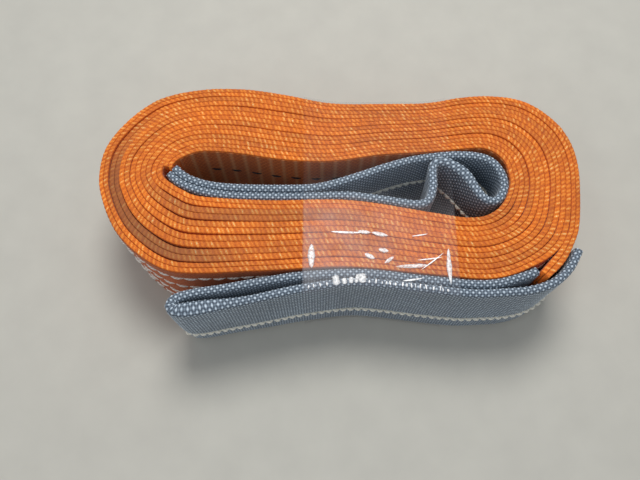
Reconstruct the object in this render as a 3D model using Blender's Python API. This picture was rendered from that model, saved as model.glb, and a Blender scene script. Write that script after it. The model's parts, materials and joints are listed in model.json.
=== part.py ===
"""Flat duplex web sling, wound into a flat coil and held by a clear film band.

Frame: millimetres below become metres through MM.  +X runs along the coil, +Y away
from the outer eye, +Z up.  The webbing stands on its edge, so its width is vertical.
Z = 0 is the underside of the film band, which is what the coil rests on.
"""
import math

import bmesh
import bpy
from mathutils import Vector

MM = 0.001
CENTRE = (0.147, -1.142)   # middle of the plan as drawn below, moved to the origin

# webbing
PLY = 1.4               # thickness of one ply
GAP = 0.3               # gap left between neighbouring pieces
DUPLEX = 2 * PLY + GAP  # two plies of the body
WEB_LOW = 0.5           # lower edge of the body webbing above the floor
WEB_WIDTH = 50.0
EYE_WEB_WIDTH = 47.8    # eye webbing, a little narrower so it fits its sleeve
EYE_WEB_LOW = 1.6

# protective sleeve of each eye
SLEEVE = 3.1            # thickness over the sleeved webbing
SLEEVE_WALL = 0.55
SLEEVE_LOW = 0.7
SLEEVE_WIDTH = 49.6

# threads
THREAD = 0.4            # how far a seam stands off the cloth
THREAD_TALL = 1.1
BODY_ROWS = (8.0, 19.3, 30.7, 42.0)   # heights of the lengthwise seams
SEAM_Z = 15.0           # seam of the outer eye's sleeve, above the floor
TRACER_Z = 34.0         # marker yarn, above the floor
ROW_TURNS = (5.83, 6.53)      # stretch of the outermost turn whose seams are in the open
TRACER_TURNS = (0.14, 0.29)   # stretch of the hole wall where the marker yarn shows
INNER_SEAM_Z = 30.0     # seam of the inner eye's sleeve
INNER_SEAM_START = 5.0  # X on the rear leg where its seam starts
INNER_FOLD = (62.0, 39.6)     # X of the start and end of the fold that stands across the loop

# film band
FILM = 0.2
FILM_X = (-15.0, 47.0)
FILM_FLOOR = 0.0
LAP_LENGTH = 26.0       # overlapped end of the film, on the back
LAP_LOW = 12.0

# coil: stations round the hole, going left end, back, right end, front.
# turn position, hole edge x y, outer edge x y, first turn met, turns between
STATIONS = (
    (0.000, -75.0, 9.0, -100.4, 6.0, 1, 5),
    (0.045, -74.0, 13.8, -97.7, 24.3, 1, 5),
    (0.100, -66.0, 16.5, -81.0, 43.5, 0, 6),
    (0.135, -58.0, 19.2, -63.0, 49.6, 0, 6),
    (0.170, -43.0, 18.2, -43.4, 50.5, 0, 6),
    (0.205, -24.0, 15.2, -25.6, 47.9, 0, 6),
    (0.250, -4.0, 14.4, -3.6, 43.3, 0, 6),
    (0.295, 18.0, 17.5, 20.0, 43.0, 0, 6),
    (0.335, 38.0, 18.9, 40.2, 43.5, 0, 6),
    (0.365, 52.0, 20.3, 56.0, 46.3, 0, 6),
    (0.400, 61.0, 20.8, 71.1, 46.4, 0, 6),
    (0.430, 66.5, 18.6, 83.9, 42.8, 0, 6),
    (0.465, 70.3, 14.0, 95.5, 31.7, 0, 6),
    (0.490, 71.3, 9.5, 100.2, 19.4, 0, 6),
    (0.520, 71.5, 4.0, 100.3, 3.0, 0, 6),
    (0.570, 67.5, -5.0, 95.1, -21.4, 0, 6),
    (0.605, 61.0, -10.0, 80.5, -29.8, 0, 5),
    (0.645, 52.0, -11.2, 62.6, -37.0, 0, 5),
    (0.690, 38.0, -9.0, 40.0, -36.0, 0, 5),
    (0.760, 4.3, -3.4, 3.8, -32.5, 0, 5),
    (0.830, -30.0, -3.4, -31.6, -34.1, 0, 5),
    (0.890, -58.0, -1.6, -63.1, -34.9, 0, 5),
    (0.920, -65.0, 1.2, -75.3, -30.8, 0, 5),
    (0.950, -70.4, 4.4, -88.3, -20.2, 0, 5),
    (0.975, -73.2, 6.3, -95.8, -8.3, 0, 5),
)
FIRST_TURN = 0.125      # turn position where the hand-drawn inner root ends
LAST_TURN = 6.565       # turn position where the hand-drawn outer root starts
STEPS_PER_TURN = 72
INNER_ROOT = ((-71.7, 11.7), (-71.2, 13.7), (-69.4, 16.0), (-66.4, 18.0))
OUTER_ROOT = ((89.6, -27.6), (85.6, -32.2), (81.2, -36.1))

# centre lines of the eyes
INNER_EYE = (
    (-68.7, 11.7), (-67.2, 10.1), (-63.9, 7.5), (-60.1, 5.7), (-55.0, 4.0), (-47.4, 2.8),
    (-38.0, 2.25), (-25.0, 2.05), (-12.0, 2.4), (-3.0, 4.2), (9.0, 8.2), (21.0, 12.6),
    (32.0, 15.9), (45.0, 17.6), (57.0, 17.5), (64.6, 14.8), (68.6, 8.6), (68.8, 2.0),
    (65.6, -3.4), (60.6, -3.4), (55.2, 1.2), (49.2, 8.0), (44.6, 12.5), (41.4, 12.6),
    (40.0, 8.6), (39.2, 2.0), (37.0, -3.2), (32.0, -5.0), (18.0, -3.0), (4.0, -1.2),
    (-10.0, -1.35), (-25.0, -1.4), (-38.0, -1.25), (-48.0, -0.7), (-56.0, 0.6), (-61.5, 2.4),
    (-66.0, 4.5), (-69.2, 6.8), (-71.2, 9.3),
)
OUTER_EYE_FAR = ((78.2, -33.9), (75.4, -35.3), (62.6, -39.0), (50.8, -39.4),
                 (31.3, -37.2), (17.0, -35.4), (3.8, -34.8), (-15.9, -36.0))
OUTER_EYE_TIP = ((-31.4, -38.5), (-45.0, -40.8), (-57.0, -42.4), (-64.6, -44.6),
                 (-67.1, -47.9), (-64.6, -51.0), (-57.0, -50.9), (-45.0, -48.2),
                 (-31.4, -45.0))
OUTER_EYE_NEAR = ((-15.9, -41.4), (3.8, -38.6), (17.0, -39.1), (31.3, -40.9),
                  (50.8, -43.1), (62.6, -43.0), (75.0, -41.9), (84.6, -38.6),
                  (91.6, -32.6), (96.2, -25.2))

# the two places where the outer eye bends, by the X of the vertical axis
BEND_ONE_X = -16.5
BEND_TWO_X = -42.0


def spline(points, step=2.0):
    """Smooth line through points, resampled at an even step."""
    pts = [Vector(p) for p in points]
    ends = [2 * pts[0] - pts[1]] + pts + [2 * pts[-1] - pts[-2]]
    fine = []
    for a, b, c, d in zip(ends, ends[1:], ends[2:], ends[3:]):
        for i in range(24):
            u = i / 24.0
            fine.append(0.5 * (2 * b + (c - a) * u + (2 * a - 5 * b + 4 * c - d) * u * u
                               + (3 * b - a - 3 * c + d) * u ** 3))
    fine.append(pts[-1])
    return resample(fine, step)


def resample(line, step):
    """The same line with points an even distance apart."""
    run = [0.0]
    for a, b in zip(line, line[1:]):
        run.append(run[-1] + (b - a).length)
    count = max(2, int(round(run[-1] / step)))
    out, j = [], 0
    for i in range(count + 1):
        want = run[-1] * i / count
        while j < len(run) - 2 and run[j + 1] < want:
            j += 1
        part = (want - run[j]) / max(run[j + 1] - run[j], 1e-9)
        out.append(line[j].lerp(line[j + 1], part))
    return out


def sideways(line):
    """Unit vector to the left of the line at each of its points."""
    out = []
    for i in range(len(line)):
        run = line[min(i + 1, len(line) - 1)] - line[max(i - 1, 0)]
        run.normalize()
        out.append(Vector((-run.y, run.x)))
    return out


def offset(line, distance):
    """Line moved to its left by distance."""
    return [p + n * distance for p, n in zip(line, sideways(line))]


def station_fields():
    """Turn position, base point and outward step per turn for each station."""
    out = []
    for place, hx, hy, mx, my, first, turns in STATIONS:
        hole, edge = Vector((hx, hy)), Vector((mx, my))
        way = edge - hole
        step = way.normalized() * ((way.length - DUPLEX) / turns)
        out.append((place, hole - step * (first + place), step))
    return out


def coil_point(turn, fields):
    """Inner face of the body at a turn position, counted outward from the left end."""
    place = turn % 1.0
    n = len(fields)
    k = max(i for i in range(n) if fields[i][0] <= place + 1e-9)

    def at(i):
        wraps, i = divmod(i, n)
        return fields[i][0] + wraps, fields[i][1], fields[i][2]

    (u0, a0, b0), (u1, a1, b1), (u2, a2, b2), (u3, a3, b3) = (at(k + d) for d in (-1, 0, 1, 2))
    w = (place - u1) / (u2 - u1)
    h = (2 * w ** 3 - 3 * w * w + 1, w ** 3 - 2 * w * w + w, 3 * w * w - 2 * w ** 3, w ** 3 - w * w)
    span = u2 - u1

    def mix(p0, p1, p2, p3):
        slope1 = (p2 - p0) / (u2 - u0)
        slope2 = (p3 - p1) / (u3 - u1)
        return p1 * h[0] + slope1 * (h[1] * span) + p2 * h[2] + slope2 * (h[3] * span)

    return mix(a0, a1, a2, a3) + mix(b0, b1, b2, b3) * turn


def body_line():
    """Middle line of the two-ply body, from the inner root to the outer root."""
    fields = station_fields()
    count = int((LAST_TURN - FIRST_TURN) * STEPS_PER_TURN)
    face = [coil_point(FIRST_TURN + (LAST_TURN - FIRST_TURN) * i / count, fields)
            for i in range(count + 1)]
    middle = offset(face, DUPLEX / 2)
    inner = spline(INNER_ROOT + (tuple(middle[0]), tuple(middle[1])), 1.6)[:-1]
    outer = spline((tuple(middle[-2]), tuple(middle[-1])) + OUTER_ROOT, 2.4)
    return inner + middle[1:-2] + outer


def clean(line, shortest):
    """Line without points closer together than shortest."""
    out = [line[0]]
    for p in line[1:-1]:
        if (p - out[-1]).length >= shortest and (p - line[-1]).length >= shortest:
            out.append(p)
    return out + [line[-1]]


def cut_at(line, x, keep_left):
    """Part of a line on one side of a plane across X, ending half a gap from it."""
    edge = x - GAP / 2 if keep_left else x + GAP / 2
    inside = (lambda p: p.x <= edge) if keep_left else (lambda p: p.x >= edge)
    out = []
    for a, b in zip(line, line[1:]):
        if inside(a):
            out.append(a)
        if inside(a) != inside(b):
            out.append(a.lerp(b, (edge - a.x) / (b.x - a.x)))
    if inside(line[-1]):
        out.append(line[-1])
    return clean(out, 0.25)


def new_object(name, bm, material):
    """Object from a bmesh that was drawn in millimetres."""
    bmesh.ops.translate(bm, vec=(-CENTRE[0], -CENTRE[1], 0.0), verts=bm.verts)
    bmesh.ops.scale(bm, vec=(MM, MM, MM), verts=bm.verts)
    bmesh.ops.recalc_face_normals(bm, faces=bm.faces)
    mesh = bpy.data.meshes.new(name)
    bm.to_mesh(mesh)
    bm.free()
    obj = bpy.data.objects.new(name, mesh)
    bpy.context.scene.collection.objects.link(obj)
    mesh.materials.append(material)
    return obj


def strip(name, line, thick, low, tall, material):
    """Flat strip standing on its edge along a line."""
    bm = bmesh.new()
    left, right = offset(line, thick / 2), offset(line, -thick / 2)
    rings = [[bm.verts.new((p.x, p.y, z)) for p, z in
              ((a, low), (b, low), (b, low + tall), (a, low + tall))]
             for a, b in zip(left, right)]
    for r0, r1 in zip(rings, rings[1:]):
        for i in range(4):
            j = (i + 1) % 4
            bm.faces.new((r0[i], r0[j], r1[j], r1[i]))
    bm.faces.new(rings[0])
    bm.faces.new(rings[-1][::-1])
    return new_object(name, bm, material)


def sleeve(name, line, material):
    """Hollow flat tube along a line, open at both ends."""
    bm = bmesh.new()
    half, wall, low, high = SLEEVE / 2, SLEEVE_WALL, SLEEVE_LOW, SLEEVE_LOW + SLEEVE_WIDTH
    outer = ((half, low), (-half, low), (-half, high), (half, high))
    inner = ((half - wall, low + wall), (wall - half, low + wall),
             (wall - half, high - wall), (half - wall, high - wall))
    normals = sideways(line)
    rings = [[bm.verts.new((p.x + n.x * d, p.y + n.y * d, z)) for d, z in outer + inner]
             for p, n in zip(line, normals)]
    for r0, r1 in zip(rings, rings[1:]):
        for i in range(4):
            j = (i + 1) % 4
            bm.faces.new((r0[i], r0[j], r1[j], r1[i]))
            bm.faces.new((r0[4 + j], r0[4 + i], r1[4 + i], r1[4 + j]))
    for ring in (rings[0], rings[-1]):
        for i in range(4):
            j = (i + 1) % 4
            bm.faces.new((ring[i], ring[j], ring[4 + j], ring[4 + i]))
    return new_object(name, bm, material)


def seam(name, line, face, z, material):
    """Thread standing off a cloth face, following a line; face is the side and distance."""
    stand = math.copysign(GAP + THREAD / 2, face)
    return strip(name, offset(line, face + stand), THREAD, z - THREAD_TALL / 2, THREAD_TALL,
                 material)


def crossing_y(line, x):
    """Y where a line crosses a plane across X."""
    for a, b in zip(line, line[1:]):
        if (a.x - x) * (b.x - x) <= 0 and a.x != b.x:
            return a.lerp(b, (x - a.x) / (b.x - a.x)).y
    raise ValueError("the line does not reach the plane")


def film_slices(front_line, back_line):
    """X, front Y and back Y of the inside of the film at even steps across it."""
    clear = GAP + THREAD + GAP
    count = 16
    out = []
    for i in range(count + 1):
        x = FILM_X[0] + (FILM_X[1] - FILM_X[0]) * i / count
        out.append((x, crossing_y(front_line, x) - SLEEVE / 2 - clear,
                    crossing_y(back_line, x) + clear))
    return out


def film_loop(front, back, low, high, radius):
    """Rounded rectangle across the band, as Y and Z pairs."""
    corners = ((back - radius, high - radius, 0), (front + radius, high - radius, 1),
               (front + radius, low + radius, 2), (back - radius, low + radius, 3))
    out = []
    for y, z, quarter in corners:
        for i in range(4):
            turn = math.pi / 2 * (quarter + i / 3.0)
            out.append((y + radius * math.cos(turn), z + radius * math.sin(turn)))
    return out


def film_band(name, slices, material):
    """Clear film wrapped once round the waist of the coil."""
    bm = bmesh.new()
    low, high = FILM_FLOOR + FILM, WEB_LOW + WEB_WIDTH + GAP
    inside_radius = 0.8
    rings = []
    for x, front, back in slices:
        inner = film_loop(front, back, low, high, inside_radius)
        outer = film_loop(front - FILM, back + FILM, low - FILM, high + FILM, inside_radius + FILM)
        rings.append([bm.verts.new((x, y, z)) for y, z in outer + inner])
    n = len(rings[0]) // 2
    for r0, r1 in zip(rings, rings[1:]):
        for i in range(n):
            j = (i + 1) % n
            bm.faces.new((r0[i], r0[j], r1[j], r1[i]))
            bm.faces.new((r0[n + j], r0[n + i], r1[n + i], r1[n + j]))
    for ring in (rings[0], rings[-1]):
        for i in range(n):
            j = (i + 1) % n
            bm.faces.new((ring[i], ring[j], ring[n + j], ring[n + i]))
    return new_object(name, bm, material)


def cloth_material(name, colour, roughness, alpha=1.0):
    """Plain material of one colour."""
    mat = bpy.data.materials.new(name)
    mat.use_nodes = True
    shader = mat.node_tree.nodes["Principled BSDF"]
    shader.inputs["Base Color"].default_value = (*colour, 1.0)
    shader.inputs["Roughness"].default_value = roughness
    shader.inputs["Metallic"].default_value = 0.0
    shader.inputs["Alpha"].default_value = alpha
    return mat


def build_body(line, orange, orange_dark, white, black):
    """Two plies of webbing, the four seams that join them and the marker yarn."""
    ply_side = (PLY + GAP) / 2
    strip("body_ply_outer", offset(line, ply_side), PLY, WEB_LOW, WEB_WIDTH, orange)
    strip("body_ply_inner", offset(line, -ply_side), PLY, WEB_LOW, WEB_WIDTH, orange_dark)
    fields = station_fields()

    def face(start, end):
        count = int((end - start) * STEPS_PER_TURN)
        return [coil_point(start + (end - start) * i / count, fields) for i in range(count + 1)]

    outer_face = offset(face(*ROW_TURNS), DUPLEX)
    for i, z in enumerate(BODY_ROWS):
        seam(f"body_stitch_row_{i + 1}", outer_face, 1e-6, WEB_LOW + z, white)
    seam("body_tracer_yarn", face(*TRACER_TURNS), -1e-6, TRACER_Z, black)


def build_inner_eye(orange, grey, white):
    """Inner eye, lying in the hole of the coil."""
    line = spline(INNER_EYE, 2.0)
    strip("inner_eye_webbing", line, PLY, EYE_WEB_LOW, EYE_WEB_WIDTH, orange)
    sleeve("inner_eye_sleeve", line, grey)
    right_end = max(range(len(line)), key=lambda i: line[i].x)
    start = next(i for i, p in enumerate(line) if p.x > INNER_SEAM_START)
    fold = [i for i in range(right_end, len(line)) if INNER_FOLD[0] >= line[i].x]
    stop = next(i for i in fold if line[i].x < INNER_FOLD[1])
    seam("inner_eye_seam_inside", line[start:fold[0] + 1], -SLEEVE / 2, INNER_SEAM_Z, white)
    seam("inner_eye_seam_outside", line[fold[0]:stop + 1], SLEEVE / 2, INNER_SEAM_Z, white)


def build_outer_eye(orange, grey, white):
    """Outer eye, along the front of the coil, in the lengths its two bends leave."""
    line = spline(OUTER_EYE_FAR + OUTER_EYE_TIP + OUTER_EYE_NEAR, 2.0)
    turn_back = min(range(len(line)), key=lambda i: line[i].x)
    far, near = line[:turn_back + 1], line[turn_back:]
    end = cut_at(line, BEND_TWO_X, True)
    pieces = {"held_far": cut_at(far, BEND_ONE_X, False),
              "held_near": cut_at(near, BEND_ONE_X, False),
              "mid_far": cut_at(cut_at(far, BEND_ONE_X, True), BEND_TWO_X, False),
              "mid_near": cut_at(cut_at(near, BEND_ONE_X, True), BEND_TWO_X, False),
              "end": end}
    for label, path in pieces.items():
        strip("outer_eye_webbing_" + label, path, PLY, EYE_WEB_LOW, EYE_WEB_WIDTH, orange)
        sleeve("outer_eye_sleeve_" + label, path, grey)
    for label, piece in (("held", "held_near"), ("mid", "mid_near"), ("end", "end")):
        seam("outer_eye_seam_" + label, pieces[piece], -SLEEVE / 2, SEAM_Z, white)
    return line


def main():
    """Build every piece of the sling."""
    for obj in list(bpy.data.objects):
        bpy.data.objects.remove(obj, do_unlink=True)
    orange = cloth_material("webbing_orange", (0.76, 0.19, 0.03), 0.75)
    orange_dark = cloth_material("webbing_orange_inner", (0.66, 0.15, 0.025), 0.78)
    grey = cloth_material("sleeve_grey", (0.15, 0.18, 0.21), 0.85)
    white = cloth_material("thread_white", (0.78, 0.76, 0.68), 0.7)
    black = cloth_material("yarn_black", (0.02, 0.02, 0.02), 0.8)
    film = cloth_material("film_clear", (0.93, 0.94, 0.96), 0.08, 0.3)
    body = body_line()
    build_body(body, orange, orange_dark, white, black)
    build_inner_eye(orange, grey, white)
    eye = build_outer_eye(orange, grey, white)
    near = eye[min(range(len(eye)), key=lambda i: eye[i].x):]
    back = offset([p for p in body[-STEPS_PER_TURN:] if p.y > 0], DUPLEX / 2)
    slices = film_slices(near, back)
    film_band("packing_film_band", slices, film)
    lap = [Vector((x, y + FILM + GAP + FILM / 2)) for x, _, y in slices]
    strip("packing_film_lap", lap, FILM, LAP_LOW, LAP_LENGTH, film)


main()
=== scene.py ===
import json
import math

import bpy
import numpy as np
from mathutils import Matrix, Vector


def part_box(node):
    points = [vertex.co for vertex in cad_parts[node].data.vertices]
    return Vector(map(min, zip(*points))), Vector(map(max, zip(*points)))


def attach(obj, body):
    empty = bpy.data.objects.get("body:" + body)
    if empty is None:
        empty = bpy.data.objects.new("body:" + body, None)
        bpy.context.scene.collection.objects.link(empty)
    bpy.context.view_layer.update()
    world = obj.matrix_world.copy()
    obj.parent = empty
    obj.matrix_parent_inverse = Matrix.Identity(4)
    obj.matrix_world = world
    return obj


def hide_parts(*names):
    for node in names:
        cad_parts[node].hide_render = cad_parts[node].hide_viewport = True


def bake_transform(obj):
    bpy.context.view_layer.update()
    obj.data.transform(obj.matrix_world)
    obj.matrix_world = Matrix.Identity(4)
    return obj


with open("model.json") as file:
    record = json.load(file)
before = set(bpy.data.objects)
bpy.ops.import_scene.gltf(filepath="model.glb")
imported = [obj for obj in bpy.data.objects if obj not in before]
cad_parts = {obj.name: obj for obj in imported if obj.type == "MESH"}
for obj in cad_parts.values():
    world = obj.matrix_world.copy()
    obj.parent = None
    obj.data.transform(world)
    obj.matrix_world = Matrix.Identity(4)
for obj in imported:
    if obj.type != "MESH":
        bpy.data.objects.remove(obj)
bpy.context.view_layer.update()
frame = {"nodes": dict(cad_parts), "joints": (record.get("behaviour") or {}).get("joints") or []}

MM = 0.001
WEAVE = 1.2 * MM            # yarn spacing of the sleeve cloth
SELVAGE = 2.0 * MM          # spacing of the weft loops along a webbing edge
SLEEVE_THICK = 3.3 * MM
SLEEVE_CLOTH = 0.6 * MM


# ---------------------------------------------------------------- lines read from the CAD

def centre_line(node):
    """Plan line along the middle of a standing strip, and its thickness, from its top face."""
    mesh = frame["nodes"][node].data
    co = np.empty(len(mesh.vertices) * 3)
    mesh.vertices.foreach_get("co", co)
    co = np.round(co.reshape(-1, 3) * 1e6).astype(int)
    keys = [tuple(c) for c in co]
    top = co[:, 2].max() - 30
    tilt = {}
    for poly in mesh.polygons:
        ids = [keys[i] for i in poly.vertices]
        for a, b in zip(ids, ids[1:] + ids[:1]):
            if a != b and a[2] > top and b[2] > top:
                tilt.setdefault(frozenset((a, b)), []).append(abs(poly.normal.z))
    links = {}
    for edge, slopes in tilt.items():
        if max(slopes) > 0.9 and min(slopes) < 0.1:
            a, b = edge
            links.setdefault(a, []).append(b)
            links.setdefault(b, []).append(a)
    loops, seen = [], set()
    for start in links:
        if start in seen:
            continue
        loop, last, here = [start], None, start
        seen.add(start)
        while True:
            ahead = [k for k in links[here] if k != last and k not in seen]
            if not ahead:
                break
            last, here = here, ahead[0]
            seen.add(here)
            loop.append(here)
        loops.append(loop)
    loop = np.array(max(loops, key=len), float)[:, :2] * 1e-6
    count = len(loop)
    turn = []
    for i in range(count):
        a, b = loop[i] - loop[i - 1], loop[(i + 1) % count] - loop[i]
        cosine = a @ b / max(np.linalg.norm(a) * np.linalg.norm(b), 1e-12)
        turn.append(cosine)
    corners = sorted(np.argsort(turn)[:4])
    ends = [k for k in range(4) if (corners[(k + 1) % 4] - corners[k]) % count == 1]
    first = corners[(ends[0] + 1) % 4]
    stop = (corners[ends[1]] - first) % count
    loop = np.roll(loop, -first, axis=0)
    left, right = loop[:stop + 1], loop[stop + 1:][::-1]
    across = nearest(left, right)
    return (left + across) / 2, float(np.median(np.linalg.norm(left - across, axis=1)))


def nearest(points, line):
    """The nearest place on the line to each point."""
    a, way = line[:-1], np.diff(line, axis=0)
    long = np.maximum((way ** 2).sum(axis=1), 1e-18)
    out = []
    for p in points:
        t = np.clip(((p - a) * way).sum(axis=1) / long, 0, 1)
        q = a + way * t[:, None]
        out.append(q[np.argmin(((p - q) ** 2).sum(axis=1))])
    return np.array(out)


def smooth(line, step):
    """The line through the same points, rounded between them, at an even step."""
    pts = np.vstack([2 * line[0] - line[1], line, 2 * line[-1] - line[-2]])
    u = np.linspace(0, 1, 9)[:-1][:, None]
    fine = []
    for a, b, c, d in zip(pts, pts[1:], pts[2:], pts[3:]):
        fine.append(0.5 * (2 * b + (c - a) * u + (2 * a - 5 * b + 4 * c - d) * u ** 2
                           + (3 * b - a - 3 * c + d) * u ** 3))
    return even(np.vstack(fine + [pts[-2]]), step)


def run_of(line):
    """Length along a line at each of its points."""
    return np.concatenate([[0], np.cumsum(np.linalg.norm(np.diff(line, axis=0), axis=1))])


def even(line, step):
    """The line with points an even distance apart."""
    run = run_of(line)
    s = np.linspace(0, run[-1], max(2, int(round(run[-1] / step))) + 1)
    return np.column_stack([np.interp(s, run, line[:, k]) for k in range(line.shape[1])])


def normals(line):
    """Unit vectors to the left of the line."""
    run = np.gradient(line, axis=0)
    run /= np.maximum(np.linalg.norm(run, axis=1), 1e-12)[:, None]
    return np.column_stack([-run[:, 1], run[:, 0]])


def wobble(count, scale, step, seed):
    """Smooth random values from -1 to 1 along a line whose points are step apart."""
    make = np.random.default_rng(seed)
    knots = max(4, int(count * step / scale) + 3)
    values = make.uniform(-1, 1, knots)
    x = np.linspace(0, knots - 1.001, count)
    k = x.astype(int)
    f = x - k
    f = f * f * (3 - 2 * f)
    return values[k] * (1 - f) + values[np.minimum(k + 1, knots - 1)] * f


# ---------------------------------------------------------------- mesh helpers

def grid_object(name, rings, uvs, **values):
    """Closed mesh from rings of points: rings is (n, m, 3), uvs is (n, m, 2), values are (n, m)."""
    n, m = rings.shape[:2]
    i, j = np.meshgrid(np.arange(n - 1), np.arange(m), indexing="ij")
    k = (j + 1) % m
    quads = np.stack([i * m + j, i * m + k, (i + 1) * m + k, (i + 1) * m + j], axis=-1)
    faces = quads.reshape(-1, 4).tolist()
    faces.append(list(range(m))[::-1])
    faces.append([(n - 1) * m + q for q in range(m)])
    flat = {key: value.reshape(-1) for key, value in values.items()}
    return mesh_object(name, rings.reshape(-1, 3), faces, uvs.reshape(-1, 2), **flat)


def mesh_object(name, verts, faces, uvs, **values):
    """Object with smooth faces, a UV map in metres and named values at its points."""
    mesh = bpy.data.meshes.new(name)
    mesh.from_pydata(np.asarray(verts, float).tolist(), [], faces)
    mesh.update()
    layer = mesh.uv_layers.new(name="UVMap")
    index = np.empty(len(mesh.loops), dtype=np.int32)
    mesh.loops.foreach_get("vertex_index", index)
    layer.data.foreach_set("uv", np.asarray(uvs, np.float32)[index].ravel())
    for key, value in values.items():
        store = mesh.attributes.new(key, "FLOAT", "POINT")
        store.data.foreach_set("value", np.asarray(value, np.float32))
    mesh.polygons.foreach_set("use_smooth", [True] * len(mesh.polygons))
    obj = bpy.data.objects.new(name, mesh)
    bpy.context.scene.collection.objects.link(obj)
    return obj


# ---------------------------------------------------------------- materials

def new_material(name):
    mat = bpy.data.materials.new(name)
    mat.use_nodes = True
    tree = mat.node_tree
    return mat, tree, tree.nodes["Principled BSDF"]


def node(tree, kind, **values):
    made = tree.nodes.new(kind)
    for key, value in values.items():
        if key in made.inputs:
            made.inputs[key].default_value = value
        else:
            setattr(made, key, value)
    return made


def ramp(tree, stops):
    made = tree.nodes.new("ShaderNodeValToRGB")
    while len(made.color_ramp.elements) < len(stops):
        made.color_ramp.elements.new(0.5)
    for element, (place, colour) in zip(made.color_ramp.elements, stops):
        element.position = place
        element.color = (*colour, 1.0)
    return made


def maths(tree, operation, first, second=None, third=None, clamp=False):
    """Math node fed by sockets or plain numbers; returns its output."""
    made = tree.nodes.new("ShaderNodeMath")
    made.operation = operation
    made.use_clamp = clamp
    for k, value in enumerate((first, second, third)):
        if value is None:
            continue
        if isinstance(value, (int, float)):
            made.inputs[k].default_value = value
        else:
            tree.links.new(value, made.inputs[k])
    return made.outputs[0]


def uv_axes(tree):
    uv = node(tree, "ShaderNodeUVMap", uv_map="UVMap")
    split = tree.nodes.new("ShaderNodeSeparateXYZ")
    tree.links.new(uv.outputs["UV"], split.inputs[0])
    return uv.outputs["UV"], split.outputs["X"], split.outputs["Y"]


def finish_cloth(tree, shader, height, tint, uv, stops, look):
    """Colour, roughness and bump of a cloth from its yarn height; the colour is painted lighter on the
    yarn tops, as highlight, and darker in the hollows, as shade.
    """
    link = tree.links.new
    colours = ramp(tree, stops)
    link(height, colours.inputs["Fac"])
    slow = node(tree, "ShaderNodeTexNoise", Scale=42.0, Detail=2.0)
    link(uv, slow.inputs["Vector"])
    swing = ramp(tree, ((0.3, (1 - look["tone"],) * 3), (0.7, (1 + look["tone"] * 0.4,) * 3)))
    link(slow.outputs["Fac"], swing.inputs["Fac"])
    shade = node(tree, "ShaderNodeMix", data_type="RGBA", blend_type="MULTIPLY")
    shade.inputs["Factor"].default_value = 1.0
    link(colours.outputs["Color"], shade.inputs["A"])
    link(swing.outputs["Color"], shade.inputs["B"])
    # Mix towards a second colour by a point value: painted shade on the body plies, a lighter tint on
    # the columns of the hole face.
    shade_and_tint_mix = node(tree, "ShaderNodeMix", data_type="RGBA", blend_type="MIX")
    shade_and_tint_mix.inputs["B"].default_value = (*look["soil"], 1.0)
    link(tint, shade_and_tint_mix.inputs["Factor"])
    link(shade.outputs["Result"], shade_and_tint_mix.inputs["A"])
    link(shade_and_tint_mix.outputs["Result"], shader.inputs["Base Color"])
    lift = node(tree, "ShaderNodeBump", Strength=look["bump"], Distance=0.00025)
    link(height, lift.inputs["Height"])
    link(lift.outputs["Normal"], shader.inputs["Normal"])
    dull = maths(tree, "MULTIPLY_ADD", slow.outputs["Fac"], 0.22, look["rough"] - 0.11)
    link(dull, shader.inputs["Roughness"])
    shader.inputs["Sheen Weight"].default_value = look["sheen"]
    shader.inputs["Sheen Roughness"].default_value = 0.4
    shader.inputs["Specular IOR Level"].default_value = 0.4


def webbing_material(name, stops, soil, slant):
    """Webbing: each selvage loop or rib is a bundle of slanted yarns, its crown painted lighter as
    highlight.
    """
    mat, tree, shader = new_material(name)
    uv, u, v = uv_axes(tree)
    crown = node(tree, "ShaderNodeAttribute", attribute_name="crown").outputs["Fac"]
    tint = node(tree, "ShaderNodeAttribute", attribute_name="soil").outputs["Fac"]
    noise = node(tree, "ShaderNodeTexNoise", Scale=1500.0, Detail=3.0, Roughness=0.7)
    tree.links.new(uv, noise.inputs["Vector"])
    drift_node = node(tree, "ShaderNodeTexNoise", Scale=350.0, Detail=1.0)
    tree.links.new(uv, drift_node.inputs["Vector"])
    across = maths(tree, "MULTIPLY_ADD", v, slant, u)
    phase = maths(tree, "MULTIPLY_ADD", across, 2 * math.pi / (0.5 * MM),
                  maths(tree, "MULTIPLY", drift_node.outputs["Fac"], 9.0))
    yarn = maths(tree, "MULTIPLY_ADD", maths(tree, "SINE", phase), 0.5, 0.5)
    fine = maths(tree, "MULTIPLY_ADD", yarn, 0.16,
                 maths(tree, "MULTIPLY", noise.outputs["Fac"], 0.95))
    height = maths(tree, "ADD", maths(tree, "MULTIPLY", crown, 0.8),
                   maths(tree, "SUBTRACT", fine, 0.43), clamp=True)
    finish_cloth(tree, shader, height, tint, uv, stops,
                 {"tone": 0.22, "soil": soil, "bump": 0.55, "rough": 0.66, "sheen": 0.2})
    return mat


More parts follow.
